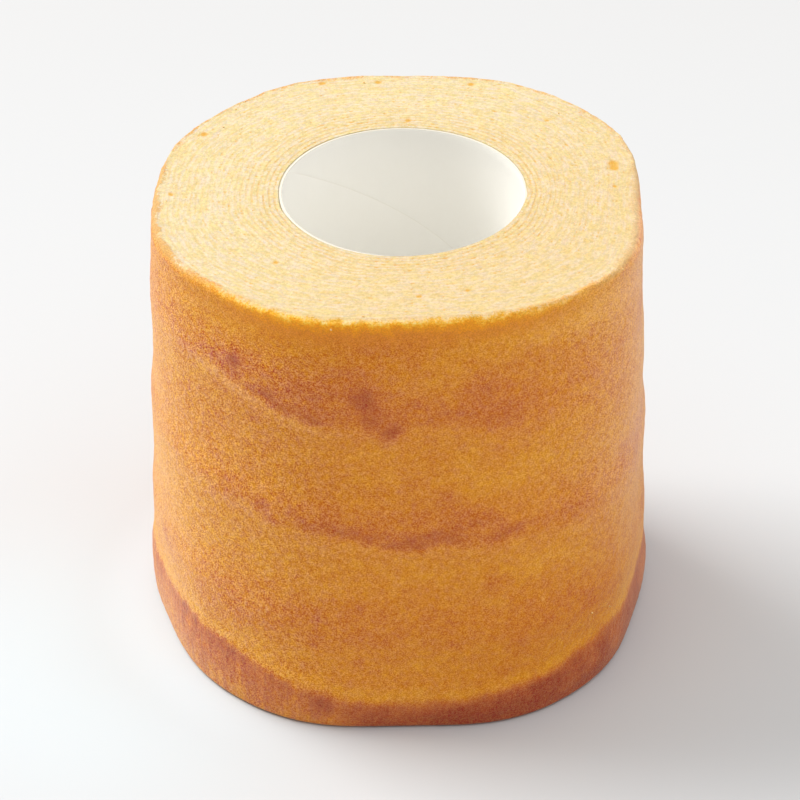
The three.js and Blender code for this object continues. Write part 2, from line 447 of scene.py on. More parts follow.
def set_attribute(piece, name, values, kind="FLOAT"):
    """Stores one value for each vertex under a name that the material reads."""
    attribute = piece.data.attributes.new(name, kind, "POINT")
    field = "vector" if kind == "FLOAT_VECTOR" else "value"
    attribute.data.foreach_set(field, np.asarray(values, np.float32).ravel())


# Relief and browning of the cake

def by_bearing(points, bearings):
    """Values given at some bearings, eased between them: one line for each value."""
    places, *columns = zip(*points)
    width = EASE_ANGLE * len(bearings) / 360
    return [blurred(np.interp(bearings, places, column, period=360), width, 0) for column in columns]


def hidden_patches(random, bearings):
    """Patches for the part of the wall away from the front, along the same bands."""
    first, last = SEEN_BEARINGS
    found = []
    for number in range(HIDDEN_PATCHES):
        bearing = last + (360 + first - last) * (number + random.uniform(0.2, 0.8)) / HIDDEN_PATCHES
        band = BROWN_BANDS[number % len(BROWN_BANDS)]
        line = by_bearing(band.edge, bearings)[0]
        height = np.interp(bearing, bearings, line, period=360) + random.uniform(0, HIDDEN_RISE)
        wide = random.uniform(*HIDDEN_WIDTHS)
        strength = random.uniform(*HIDDEN_STRENGTHS)
        found.append(Patch(bearing, height, wide, wide * HIDDEN_FLATNESS, strength))
    return tuple(found)


def patch_share(patch, bearings, heights, radius):
    along = np.radians(turn_between(bearings, patch.bearing)) * radius / patch.half_width
    up = (heights - patch.height) / patch.half_height
    return patch.strength * np.exp(-(along ** 2 + up ** 2))


def browning(points, bearings, heights, radius, random):
    """How brown the skin is, from 0 for pale gold to 1 for dark, how far in the base, and how streaky."""
    flat_points = points * (1, 1, 2.2)
    upright_points = points * (1, 1, 0.16)
    warp = summed_noise(points, (2.0, 9, 3), (1.2, 4, 4))
    patchy = 1 + summed_noise(flat_points, (0.7, 14, 6), (0.6, 6, 7))
    shade = np.full(radius.shape, PLAIN_SHADE)
    for band in BROWN_BANDS:
        edge, strength, blur = by_bearing(band.edge, bearings)
        above = heights - edge + warp
        fade = bell(np.maximum(above, 0), band.fade)
        shade += strength * step_up(above, blur) * fade * patchy
    for patch in BROWN_AND_PAINTED_HIGHLIGHT_PATCHES + hidden_patches(random, bearings):
        shade += patch_share(patch, bearings, heights + 0.4 * warp, radius)

    # The base is dark, with a paler line above it. Where it has upright streaks, it is darkest at its
    # upper edge.
    edge, strength, blur, streaky = by_bearing(BASE_BAND, bearings)
    foot_browning_and_light, = by_bearing(FOOT_BROWNING_AND_PAINTED_LIGHT, bearings)
    upright = streaky * noise_at(upright_points, 3.0, 9)
    below = edge - heights + 0.4 * warp + 1.2 * upright
    in_base = step_up(below, blur)
    strength = strength * (1 - 0.55 * streaky * np.clip(below / STREAKY_FADE, 0, 1))
    shade += in_base * (strength * (1 + 0.35 * noise_at(points, 14, 5)) + 0.15 * upright)
    shade += foot_browning_and_light * bell(heights, FOOT_SHADE_HEIGHT)
    shade -= PALE_LINE_STRENGTH * bell(below + PALE_LINE_RISE, PALE_LINE_WIDTH)
    shade += summed_noise(points, (0.07, 24, 1), (0.05, 3, 8)) + 0.06 * noise_at(flat_points, 9, 2)
    return np.clip(shade, 0, 1), in_base, in_base * streaky


def up_the_wall(points, bearings, heights):
    """Values given near the cut edge, near the top and near the base, eased between them."""
    at_edge, high, low = by_bearing(points, bearings)
    values = low + (high - low) * step_up(heights - UPPER_HEIGHT, UPPER_BLUR)
    return values + (at_edge - values) * step_up(heights - EDGE_HEIGHT, EDGE_BLUR)


def dust_glints_and_sheen(bearings, heights, shade, in_base, streaky):
    """Dust on the skin with painted glints, less where it is dark, and its bloom with painted sheen.

    The bloom also gathers on the two upper ledges, partly a painted highlight, and on the streaky base.
    """
    bloom_and_sheen = up_the_wall(BLOOM_AND_SHEEN, bearings, heights)
    dark = np.clip((shade - 0.45) / 0.35, 0, 1)
    dust_glint_share = up_the_wall(DUST_AND_GLINTS, bearings, heights) * (1 - 0.7 * dark)
    for band in BROWN_BANDS[:2]:
        edge, strength, _ = by_bearing(band.edge, bearings)
        on_ledge = bell(edge - heights - 2.5, 2.2)
        bloom_and_sheen = bloom_and_sheen + 0.7 * strength * on_ledge * dust_glint_share ** 2
    return dust_glint_share * (1 - 0.3 * in_base), bloom_and_sheen * (1 - 0.5 * in_base) + 0.02 * streaky


def skin_relief(points, bearings, heights):
    """Fine unevenness of the wall, outwards, with a ledge under each browned band."""
    relief = summed_noise(points, (0.22, 28, 20), (0.14, 9, 21), (0.14, 3.2, 22))
    for band in BROWN_BANDS:
        edge, strength, _ = by_bearing(band.edge, bearings)
        below = edge - heights
        rise = band.ledge * np.minimum(strength / LEDGE_STRENGTH, 1)
        relief += rise * step_up(below, LEDGE_BLUR) * bell(np.maximum(below, 0), LEDGE_FADE)
    return relief


def cut_pits(points, layer, random):
    """Depth from 0 to 1 of small pores along the rings of the cut face, and of the larger specks."""
    columns = random.integers(0, points.shape[1], PIT_COUNT)
    rings = np.rint(1 + (LAYERS - 2) * random.uniform(0, 1, PIT_COUNT) ** PIT_CROWDING)
    rows = np.argmin(np.abs(layer[:, columns] - rings), axis=0)
    sizes = random.uniform(*PIT_SIZES, PIT_COUNT)
    pores = [Speck(*points[row, column, :2], size) for row, column, size in zip(rows, columns, sizes)]
    depth = np.zeros(points.shape[:-1])
    for spots, deepest in ((pores, PORE_SHARE), (SPECKS, 1.0)):
        for spot in spots:
            distance = np.hypot(points[..., 0] - spot.x, points[..., 1] - spot.y)
            depth = np.maximum(depth, deepest * bell(distance, spot.radius))
    return depth


def crumb_edge_radius(bearings):
    """Radius of the crumb's inner edge at the cut face, over the tube's rim apart from the gaps."""
    lip, _ = by_bearing(CRUMB_LIP, bearings)
    radius = TUBE_OUTER_RADIUS + LIP_CLEARANCE - lip
    for gap in TUBE_GAPS:
        radius = radius + gap.depth * bell(turn_between(bearings, gap.bearing), gap.half_width)
    ragged = LIP_RAGGEDNESS * noise_at(np.pad(direction(bearings), ((0, 0), (0, 1))), 0.035, 45)
    return np.maximum(radius + ragged, TUBE_INNER_RADIUS + RIM_SHOWN)


# The pieces

def cake_wall(bearings, rim_edge):
    """The wall without its relief: points, heights of its rows, and radius without rounded edges."""
    levels = np.arange(FOOT_EDGE + 1, CAKE_HEIGHT, SECTION_STEP)
    cad_radius = radius_from_outside(cake_tree, bearings, levels)
    column_step = 2 * math.pi * cad_radius.mean() / AROUND
    cad_radius = blurred(cad_radius, FACET_BLUR / column_step, 1)
    foot_rows = FOOT_EDGE * (1 - np.cos(np.linspace(0, math.pi / 2, FOOT_ROWS)))
    rim_rows = CAKE_HEIGHT - rim_edge.max() * (1 - np.cos(np.linspace(math.pi / 2, 0, RIM_ROWS)))
    middle_count = int((rim_rows[0] - foot_rows[-1]) / WALL_STEP)
    middle_rows = np.linspace(foot_rows[-1], rim_rows[0], middle_count + 1)[1:-1]
    rows = np.concatenate([foot_rows, middle_rows, rim_rows])
    radius = np.stack([np.interp(rows, levels, line) for line in cad_radius.T], axis=1)
    heights = rows[:, None]
    radius += BELLY * np.sin(math.pi * heights / CAKE_HEIGHT)
    inset = edge_inset(heights, FOOT_EDGE) + edge_inset(CAKE_HEIGHT - heights, rim_edge)
    wall = np.empty((len(rows), AROUND, 3))
    wall[..., :2] = (radius - inset)[..., None] * direction(bearings)
    wall[..., 2] = heights
    return wall, heights, radius


def cake_cut_face(skin_edge, tube_edge, bearings, random):
    """The cut face from the skin in to the tube: points, layers, pits and distance from the skin.

    Layers are counted outwards from the tube.
    """
    share = np.linspace(0, 1, CUT_ROWS + 1)[1:, None]
    cut = np.empty((CUT_ROWS, AROUND, 3))
    cut[..., :2] = skin_edge * (1 - share[..., None]) + tube_edge * share[..., None]
    cut[..., 2] = CAKE_HEIGHT
    layer = LAYERS * (1 - share) + 0.35 * noise_at(cut, 16, 41)
    pits = cut_pits(cut, layer, random)
    crumb = summed_noise(cut, (0.6, 1.3, 42), (0.4, 3.0, 43), (0.5, 12, 44))
    cut[..., 2] += LAYER_RELIEF * np.cos(2 * math.pi * layer) + CRUMB_RELIEF * (crumb - 1)
    cut[..., 2] -= PIT_DEPTH * pits
    lip_height = tube_high[2] + by_bearing(CRUMB_LIP, bearings)[1]
    from_edge = np.linalg.norm(cut[..., :2] - tube_edge, axis=-1)
    cut[..., 2] += bell(from_edge, LIP_SLOPE) * (lip_height - cut[..., 2])
    from_skin = np.linalg.norm(skin_edge - tube_edge, axis=-1)[None, :] * share
    return cut, layer, pits, from_skin


def cake_piece(material):
    """The whole cake as one closed mesh: wall, cut face, hole and underside."""
    random = np.random.default_rng(SEED)
    bearings = np.arange(AROUND) * 360 / AROUND
    ways = direction(bearings)

    # The wall follows the solid. Its foot and its cut edge are rounded by formula.
    rim_edge, skin_reach, clear = by_bearing(RIM, bearings)
    wall, heights, radius = cake_wall(bearings, rim_edge)
    relief = skin_relief(wall, bearings, heights) * np.clip(heights / FOOT_EDGE, 0, 1)
    shade, in_base, streaky = browning(wall, bearings, heights, radius, random)
    dust_glint_share, bloom_and_sheen = dust_glints_and_sheen(bearings, heights, shade, in_base, streaky)
    wall[..., :2] += relief[..., None] * ways

    # The cut edge is ragged: small nicks in the skin and torn crumb.
    from_top = CAKE_HEIGHT - heights
    rag = bell(from_top, RAGGED_HEIGHT) * summed_noise(wall, (0.35, 5, 31), (0.25, 2.4, 32))
    wall[..., :2] += rag[..., None] * ways

    crumb_radius = crumb_edge_radius(bearings)
    tube_edge = TUBE_AXIS + crumb_radius[:, None] * ways
    cut, layer, pits, from_skin = cake_cut_face(wall[-1, :, :2], tube_edge, bearings, random)

    # Under the lip the crumb steps back to the hole's wall. The hole and the underside are plain.
    hole_edge = TUBE_AXIS + HOLE_RADIUS * ways
    lip_radius = np.maximum(crumb_radius, TUBE_OUTER_RADIUS + LIP_CLEARANCE)
    hole = np.empty((HOLE_ROWS, AROUND, 3))
    hole[0, :, :2] = tube_edge
    hole[1, :, :2] = TUBE_AXIS + lip_radius[:, None] * ways
    hole[2:, :, :2] = hole_edge
    hole[:2, :, 2] = tube_high[2] + LIP_CLEARANCE
    hole[2:, :, 2] = np.linspace(CAKE_HEIGHT - 2, 1, HOLE_ROWS - 2)[:, None]
    back_share = np.linspace(0, 1, UNDERSIDE_ROWS + 1)[:-1, None]
    underside = np.zeros((UNDERSIDE_ROWS, AROUND, 3))
    underside[..., :2] = hole_edge * (1 - back_share[..., None]) + wall[0, :, :2] * back_share[..., None]

    parts = (wall, cut, hole, underside)
    points = np.concatenate(parts)
    piece = mesh_piece("cake", points.reshape(-1, 3), ring_faces(len(points), AROUND), material)

    def all_over(*values):
        """One value for each vertex, from the values on the wall, cut face, hole and underside."""
        return np.concatenate([
            np.broadcast_to(value, part.shape[:2]) for value, part in zip(values, parts)
        ])

    # Distance along the surface past the middle of the rounded cut edge, negative on the skin
    tilt = np.arccos(np.clip(1 - from_top / rim_edge, 0, 1))
    past_edge = rim_edge * (math.pi / 4 - tilt) - np.maximum(from_top - rim_edge, 0) - skin_reach
    on_cut = from_skin + rim_edge * math.pi / 4 - skin_reach
    at_hole = on_cut[-1:]
    into_cut = all_over(
        np.maximum(past_edge, -heights - FOOT_SKIN),
        on_cut,
        at_hole,
        at_hole * (1 - back_share) - FOOT_SKIN * back_share,
    )
    layers = all_over(LAYERS, layer, 0, LAYERS * back_share)
    wall_painted_glow = clear * step_up(heights - CAKE_HEIGHT + PAINTED_GLOW_REACH, PAINTED_GLOW_BLUR)
    looks = {
        "into_cut": into_cut,
        "layer": layers,
        "browning": all_over(shade, PLAIN_SHADE, PLAIN_SHADE, PLAIN_SHADE),
        "streaks": all_over(streaky, 0, 0, 0),
        "pores": all_over(0, pits, 0, 0),
        "dust_and_glints": all_over(dust_glint_share, dust_glint_share[-1], dust_glint_share[-1], dust_glint_share[-1]),
        "bloom_and_sheen": all_over(bloom_and_sheen, bloom_and_sheen[-1], bloom_and_sheen[-1], bloom_and_sheen[-1]),
        "clear": all_over(wall_painted_glow, clear, 0, 0),
    }
    for name, values in looks.items():
        set_attribute(piece, name, values)
    mean_ring = ways * (HOLE_RADIUS + cake_high[0]) / 2 * MM
    along_ring = np.concatenate([
        layers[..., None] * LAYER_STEP * MM,
        np.broadcast_to(mean_ring, (len(points), AROUND, 2)),
    ], axis=-1)
    set_attribute(piece, "along_ring", along_ring, "FLOAT_VECTOR")
    add_bake_map(piece, points, len(wall))
    return piece


def add_bake_map(piece, points, wall_count):
    """A map of the cake's faces: the wall in halves, the cut faces as rings and the hole as a strip."""
    rows = len(points)
    gap = 0.008
    half = AROUND // 2
    scale = (1 - 3 * gap) / (math.pi * cake_high[0] + 2 * cake_high[0])
    half_width = math.pi * cake_high[0] * scale
    wall_height = CAKE_HEIGHT * scale
    ring_radius = cake_high[0] * scale
    ring_middle = gap * 2 + half_width + ring_radius
    ring_heights = (gap + ring_radius, 2 * gap + 3 * ring_radius)
    strip_low = 2 * gap + 2 * max(wall_height + gap, 2 * ring_radius)
    strip_height = 1 - gap - strip_low
    layer = piece.data.uv_layers.new(name="OFBake")
    places = np.empty((rows, AROUND, 4, 2))
    for row in range(rows):
        ends = np.array([row, row, row + 1, row + 1])
        for column in range(AROUND):
            sides = np.array([column, column + 1, column + 1, column])
            if row < wall_count - 1:
                part = column // half
                across = gap + (sides - part * half) / half * half_width
                up = gap + part * (wall_height + gap) + points[ends, 0, 2] * scale
            elif row < wall_count + CUT_ROWS - 1:
                spot = points[ends, sides % AROUND, :2] * scale
                across, up = ring_middle + spot[:, 0], ring_heights[0] + spot[:, 1]
            elif row < wall_count + CUT_ROWS + HOLE_ROWS:
                across = gap + sides / AROUND * (1 - 2 * gap)
                up = strip_low + strip_height * (1 - points[ends % rows, 0, 2] / CAKE_HEIGHT)
            else:
                spot = points[ends % rows, sides % AROUND, :2] * scale
                across, up = ring_middle - spot[:, 0], ring_heights[1] + spot[:, 1]
            places[row, column, :, 0] = across
            places[row, column, :, 1] = up
    layer.data.foreach_set("uv", places.astype(np.float32).ravel())


def tube_piece(material):
    """The paper tube, with rounded rims and the groove of its spiral seam on the inside."""
    bearings = np.arange(TUBE_AROUND) * 360 / TUBE_AROUND
    top = tube_high[2]
    edge = TUBE_RIM_EDGE

    def level(radius, height):
        """One row of the section, given as a number or as one value for each bearing."""
        return np.stack([np.broadcast_to(radius, TUBE_AROUND), np.broadcast_to(height, TUBE_AROUND)])

    def corner(radius, height, first_angle):
        angles = np.radians(first_angle + np.linspace(0, 90, 4))
        return [
            level(radius + edge * math.cos(angle), height + edge * math.sin(angle))
            for angle in angles
        ]

    def plain_rows(first, last):
        """Rows of the inner wall between two heights."""
        steps = np.linspace(0, 1, TUBE_SIDE_ROWS + 2)[1:-1]
        return [level(TUBE_INNER_RADIUS, first + (last - first) * step) for step in steps]

    inner_middle = TUBE_INNER_RADIUS + edge
    outer_middle = TUBE_OUTER_RADIUS - edge
    rims = (
        corner(inner_middle, edge, 180)
        + corner(outer_middle, edge, 270)
        + corner(outer_middle, top - edge, 0)
        + corner(inner_middle, top - edge, 90)
    )

    # The seam's rows follow the helix. Behind its ends they run back from the foot to the rim, with no
    # groove.
    drop = (SEAM_TOP_BEARING - bearings) % 360
    whole_drop = top / SEAM_PITCH * 360
    seam_height = np.clip(top - drop * SEAM_PITCH / 360, SEAM_MARGIN, top - SEAM_MARGIN)
    way_back = np.interp(drop, [whole_drop, 360], [SEAM_MARGIN, top - SEAM_MARGIN])
    centre = np.where(drop < whole_drop, seam_height, way_back)
    grooved = np.clip(np.minimum(drop, whole_drop - drop) / SEAM_FADE, 0, 1)
    across, depths = np.array(SEAM_PROFILE).T
    across = across * SEAM_HALF_WIDTH
    above = plain_rows(top - edge, centre + across[0])
    seam = [
        level(TUBE_INNER_RADIUS + SEAM_DEPTH * depth * grooved, centre + offset)
        for offset, depth in zip(across, depths)
    ]
    below = plain_rows(centre + across[-1], edge)

    section = np.stack(rims + above + seam + below)
    points = np.empty((len(section), TUBE_AROUND, 3))
    points[..., :2] = TUBE_AXIS + section[:, 0, :, None] * direction(bearings)
    points[..., 2] = section[:, 1]
    faces = ring_faces(len(section), TUBE_AROUND)
    piece = mesh_piece("paper_core", points.reshape(-1, 3), faces, material)

    seam_share = np.zeros((len(section), TUBE_AROUND))
    first = len(rims) + len(above)
    seam_share[first:first + len(seam)] = depths[:, None] * grooved
    set_attribute(piece, "seam", seam_share)
    rim_share = np.zeros((len(section), TUBE_AROUND))
    half = len(rims) // 2
    rim_share[1:half - 1] = 1
    rim_share[half + 1:len(rims) - 1] = 1
    set_attribute(piece, "rim", rim_share)
    return piece


def crumbs_piece(cake, material):
    """Loose crumbs, each a small uneven lump that sits a little way into the cake's surface."""
    random = np.random.default_rng(SEED)
    lump = bmesh.new()
    bmesh.ops.create_icosphere(lump, subdivisions=2, radius=1)
    lump.verts.index_update()
    unit = np.array([vertex.co for vertex in lump.verts])
    lump_faces = np.array([[vertex.index for vertex in face.verts] for face in lump.faces])
    lump.free()

    tree = mesh_tree(cake.data)
    below_edge = CAKE_HEIGHT - 2
    seats = [hit_from_outside(tree, bearing, height) for bearing, height in WALL_CRUMBS]
    for bearing in random.uniform(-180, 180, EDGE_CRUMBS):
        rim, _ = hit_from_outside(tree, bearing, below_edge)
        inward = random.uniform(*EDGE_CRUMB_INSETS) * MM
        over = Vector((rim.x, rim.y, 0)) * (1 - inward / math.hypot(rim.x, rim.y))
        place, normal, _, _ = tree.ray_cast(over + Vector((0, 0, 1)), Vector((0, 0, -1)))
        seats.append((place, normal))

    points = []
    faces = []
    for number, (place, normal) in enumerate(seats):
        size = random.uniform(*CRUMB_SIZES)
        stretch = random.uniform(*CRUMB_STRETCHES, 3)
        uneven = 1 + CRUMB_UNEVENNESS * noise_at(unit + 5 * number, 0.9)
        middle = np.array(place) / MM + np.array(normal) * size * CRUMB_STAND
        faces += (lump_faces + number * len(unit)).tolist()
        points.append(middle + unit * uneven[:, None] * stretch * size)
    return mesh_piece("loose_crumbs", np.concatenate(points), faces, material)


# Materials

class Nodes:
    """A node tree. A method that adds a node gives back its output."""

    def __init__(self, tree):
        self.tree = tree

    def fill(self, node, inputs):
        """Links each input that is given as a socket, and sets any other."""
        for name, value in inputs.items():
            if isinstance(value, bpy.types.NodeSocket):
                self.tree.links.new(value, node.inputs[name])
            else:
                node.inputs[name].default_value = value

    def add(self, kind, inputs, output=0, **settings):
        node = self.tree.nodes.new(kind)
        for name, value in settings.items():
            setattr(node, name, value)
        self.fill(node, inputs)
        return node.outputs[output]

    def math(self, operation, first, second):
        return self.add("ShaderNodeMath", {0: first, 1: second}, operation=operation)

    def times(self, first, second):
        return self.math("MULTIPLY", first, second)

    def vector(self, operation, first, second, output=0):
        return self.add("ShaderNodeVectorMath", {0: first, 1: second}, output, operation=operation)


class Shading(Nodes):
    """The nodes of a new material."""

    def __init__(self, name):
        self.material = bpy.data.materials.new(name)
        self.material.use_nodes = True
        super().__init__(self.material.node_tree)
        self.tree.nodes.clear()
        output = self.tree.nodes.new("ShaderNodeOutputMaterial")
        self.surface = self.tree.nodes.new("ShaderNodeBsdfPrincipled")
        self.tree.links.new(self.surface.outputs[0], output.inputs["Surface"])

    def place(self):
        return self.add("ShaderNodeTexCoord", {}, "Object")

    def axis(self, place, name):
        return self.add("ShaderNodeSeparateXYZ", {0: place}, name)

    def stored(self, name, output="Fac"):
        return self.add("ShaderNodeAttribute", {}, output, attribute_name=name)

    def grain(self, place, size, detail=2.0, roughness=0.5):
        """Noise from 0 to 1 with features of about this size in millimetres."""
        inputs = {"Vector": place, "Scale": 1 / (size * MM), "Detail": detail, "Roughness": roughness}
        return self.add("ShaderNodeTexNoise", inputs, "Fac")

    def cells(self, place, size, output):
        return self.add("ShaderNodeTexVoronoi", {"Vector": place, "Scale": 1 / (size * MM)}, output)

    def granules(self, place, size):
        """A random value from 0 to 1 for each grain of about this size in millimetres."""
        return self.add("ShaderNodeSeparateColor", {0: self.cells(place, size, "Color")}, "Red")

    def domes(self, place, size):
        """Height from 0 to 1 of rounded grains of about this size in millimetres."""
        return self.math("SUBTRACT", 1, self.cells(place, size, "Distance"))

    def scaled(self, vector, factors):
        """A place or a colour, each of its values multiplied by its own factor."""
        return self.vector("MULTIPLY", vector, factors)

    def tinted(self, colour, tint, share):
        """A colour that goes to its product with a tint as the share goes to 1."""
        return self.mix(share, colour, self.scaled(colour, tint))

    def brightened(self, colour, factor):
        return self.add("ShaderNodeVectorMath", {0: colour, "Scale": factor}, operation="SCALE")

    def speckled(self, colour, value, amount):
        """A colour made darker to brighter by up to this share, as the value goes from low to high."""
        return self.brightened(colour, self.ease(value, 0.2, 0.8, 1 - amount, 1 + amount))

    def plus(self, colour, tint, amount):
        """A colour with this amount of a tint added to it."""
        inputs = {0: tint, 1: amount, 2: colour}
        return self.add("ShaderNodeVectorMath", inputs, operation="MULTIPLY_ADD")

    def weighed(self, *parts):
        """Sum of values, each given with its weight."""
        total, *others = [self.times(value, weight) for value, weight in parts]
        for other in others:
            total = self.math("ADD", total, other)
        return total

    def ease(self, value, low, high, bottom=0.0, top=1.0):
        """Value eased from low and high to bottom and top."""
        inputs = {"Value": value, "From Min": low, "From Max": high, "To Min": bottom, "To Max": top}
        return self.add("ShaderNodeMapRange", inputs, interpolation_type="SMOOTHSTEP")

    def ease_over(self, distance, reach):
        """Share from 0 to 1 as a distance goes from the first to the second of a reach in millimetres."""
        begins, full = reach
        return self.ease(distance, begins * MM, full * MM)

    def ease_evenly(self, value, low, high):
        """Value from low to high as a share from 0 to 1, in a straight line."""
        return self.add("ShaderNodeMapRange", {"Value": value, "From Min": low, "From Max": high})

    def ramp(self, value, stops):
        node = self.tree.nodes.new("ShaderNodeValToRGB")
        self.tree.links.new(value, node.inputs["Fac"])
        elements = node.color_ramp.elements
        while len(elements) < len(stops):
            elements.new(0.5)
        for element, (position, colour) in zip(elements, stops):
            element.position = position
            element.color = colour
        return node.outputs["Color"]

    def mix(self, share, first, second):
        return self.add("ShaderNodeMix", {0: share, 6: first, 7: second}, 2, data_type="RGBA")

    def bump(self, height, distance, strength):
        inputs = {"Height": height, "Distance": distance * MM, "Strength": strength}
        return self.add("ShaderNodeBump", inputs)

    def finish(self, **inputs):
        """Fills the surface's inputs, named with underscores for spaces, and gives the material."""
        self.fill(self.surface, {name.replace("_", " "): value for name, value in inputs.items()})
        return self.material


def skin_colour(look, place):
    """Golden to dark brown skin with a suede grain: its colour and the grain."""
    suede = look.weighed((look.granules(place, 0.27), 0.85), (look.grain(place, 1.0, 2, 0.7), 0.15))
    mottle = look.ease(look.grain(place, 4, 3), 0.25, 0.75, -0.06, 0.06)
    blots = look.ease(look.grain(place, 2.4, 2, 0.6), 0.3, 0.7, -0.04, 0.04)
    upright = look.grain(look.scaled(place, (1, 1, 0.12)), 1.3, 2)
    streaks = look.times(look.ease(upright, 0.3, 0.7, -0.13, 0.13), look.stored("streaks"))
    shade = look.stored("browning")
    for change in (mottle, blots, streaks):
        shade = look.math("ADD", shade, change)
    colour = look.ramp(shade, SKIN_COLOURS)
    dust_and_glints = look.stored("dust_and_glints")
    grains = look.times(look.math("SUBTRACT", suede, 0.5), look.ease(dust_and_glints, 0, 1, 0.5, 1.8))
    flecks = look.times(look.math("SUBTRACT", look.grain(place, 1.6, 2, 0.6), 0.5), dust_and_glints)
    # The pale grains and flecks are partly painted glints, and the bloom is partly painted sheen.
    for tint, amount in ((GRAIN_TINT, grains), (FLECK_TINT, flecks), (BLOOM_AND_SHEEN_TINT, look.stored("bloom_and_sheen"))):
        colour = look.plus(colour, tint, amount)
    return look.vector("MAXIMUM", colour, (0, 0, 0)), suede


def crumb_colour(look, place):
    """Pale yellow crumb with darker rings where layers meet: its colour, fine grain and rings."""
    layer = look.stored("layer")
    ring_place = look.stored("along_ring", "Vector")
    long_place = look.scaled(ring_place, (1, 0.45, 0.45))
    longer_place = look.scaled(ring_place, (1, 0.3, 0.3))
    creamy = look.ease(look.grain(long_place, 1.7, 2, 0.6), 0.30, 0.70)
    threads = look.ease(look.grain(long_place, 1.5, 2, 0.6), 0.50, 0.26, 0, 0.65)
    body = look.mix(threads, look.mix(creamy, *CRUMB_COLOURS), THREAD_COLOUR)

    # Painted shade: the cut face is deeper in colour towards the front right, away from the key light.
    forward = look.math("SUBTRACT", look.axis(place, "X"), look.axis(place, "Y"))
    body = look.tinted(body, FRONT_PAINTED_SHADE_TINT, look.ease_over(forward, FRONT_PAINTED_SHADE_REACH))
    fine = look.grain(place, 0.8, 2, 0.7)
    specks = look.weighed((fine, 0.6), (look.granules(place, 0.7), 0.4))
    body = look.speckled(body, specks, 0.12)

    # The rings are clearest near the tube, and broken.
    from_middle = look.math("ABSOLUTE", look.math("SUBTRACT", look.math("FRACT", layer, 0), 0.5), 0)
    broken = look.ease(look.grain(longer_place, 2.0, 2, 0.6), 0.35, 0.6, 0.3, 1)
    line = look.times(look.ease(from_middle, 0.18, 0.46), look.ease(layer, 10, 3, 0.4, 0.9))
    line = look.times(line, broken)
    body = look.mix(look.times(line, 0.75), body, RING_COLOUR)
    pores = look.ease(look.stored("pores"), 0.12, 0.75, 0, 0.95)
    return look.mix(pores, body, PORE_COLOUR), fine, line


def cake_material():
    look = Shading("baked_cake")
    place = look.place()
    into_cut = look.stored("into_cut")
    clear = look.stored("clear")
    skin, suede = skin_colour(look, place)
    crumb, fine, line = crumb_colour(look, place)

    # Over the rounded, ragged cut edge the skin goes from brown to clear orange, then yellow, then crumb.
    # The clear orange is painted glow of light let out by the edge, and a painted brightening keeps skin
    # and crumb bright where the edge turns down away from the light, most where it is clear. Where the
    # edge isn't clear, the skin is toasted there.
    scallops = look.ease(look.grain(place, 3.8, 3, 0.6), 0.3, 0.7, -0.9, 0.9)
    torn = look.ease(look.granules(place, 0.5), 0, 1, -0.5, 0.5)
    ragged = look.math("ADD", into_cut, look.math("ADD", scallops, torn))
    glow = look.speckled(look.ramp(look.ease_evenly(ragged, *EDGE_SPAN), EDGE_COLOURS), suede, 0.08)
    painted_glow_share = look.times(look.ease(ragged, -PAINTED_GLOW_HEIGHT, -2.5), clear)
    toasted = look.speckled(look.plus(TOAST, TOAST_BLOOM_AND_SHEEN_TINT, look.stored("bloom_and_sheen")), suede, 0.12)
    toasted_share = look.times(look.ease(into_cut, -2.2, 0.0), look.ease(clear, 0.6, 0.1))
    painted_light_through = look.times(look.ease(into_cut, 1.3, -1.2), look.ease(clear, 0, 1, 0.55, 1.0))
    painted_light_lift = look.math("ADD", painted_light_through, 1)
    skin = look.mix(toasted_share, skin, toasted)
    skin = look.mix(painted_glow_share, skin, look.brightened(glow, painted_light_lift))
    cut = look.times(look.ease(ragged, 0.6, 1.9), look.ease(into_cut, -0.9, 0.2))
    colour = look.mix(cut, skin, look.brightened(crumb, painted_light_lift))

    crumb_height = look.weighed((fine, 0.6), (line, -0.25))
    skin_height = look.weighed((look.domes(place, 0.4), 0.25), (look.grain(place, 1.6, 1), 0.6))
    height = look.add("ShaderNodeMix", {0: cut, 2: skin_height, 3: crumb_height}, 0, data_type="FLOAT")
    return look.finish(
        Base_Color=colour,
        Roughness=0.72,
        Specular_IOR_Level=0.25,
        Sheen_Weight=0.30,
        Sheen_Roughness=0.4,
        Sheen_Tint=(1.0, 0.95, 0.77, 1),
        Subsurface_Weight=0.2,
        Subsurface_Radius=(1.0, 0.45, 0.15),
        Subsurface_Scale=2 * MM,
        Normal=look.bump(height, 0.5, 1.0),
    )


def paper_material():
    look = Shading("white_paper")
    place = look.place()
    fibres = look.grain(look.scaled(place, (1, 1, 0.4)), 1.2, 3)
    cloud = look.grain(place, 20, 2)
    colour = look.mix(look.ease(fibres, 0.3, 0.7, 0, 0.5), *PAPER_COLOURS)
    colour = look.mix(look.ease(cloud, 0.35, 0.65, 0, 0.35), colour, PAPER_CLOUD_COLOUR)
    colour = look.mix(look.times(look.stored("seam"), 0.25), colour, SEAM_COLOUR)
    colour = look.mix(look.stored("rim"), colour, PAPER_RIM_COLOUR)
    return look.finish(
        Base_Color=colour,
        Roughness=0.5,
        Specular_IOR_Level=0.35,
        Normal=look.bump(fibres, 0.03, 0.3),
    )


def crumbs_material():
    look = Shading("loose_crumb")
    fine = look.grain(look.place(), 0.3, 2)
    colour = look.ramp(fine, LOOSE_CRUMB_COLOURS)
    return look.finish(Base_Color=colour, Roughness=0.8, Normal=look.bump(fine, 0.1, 0.5))


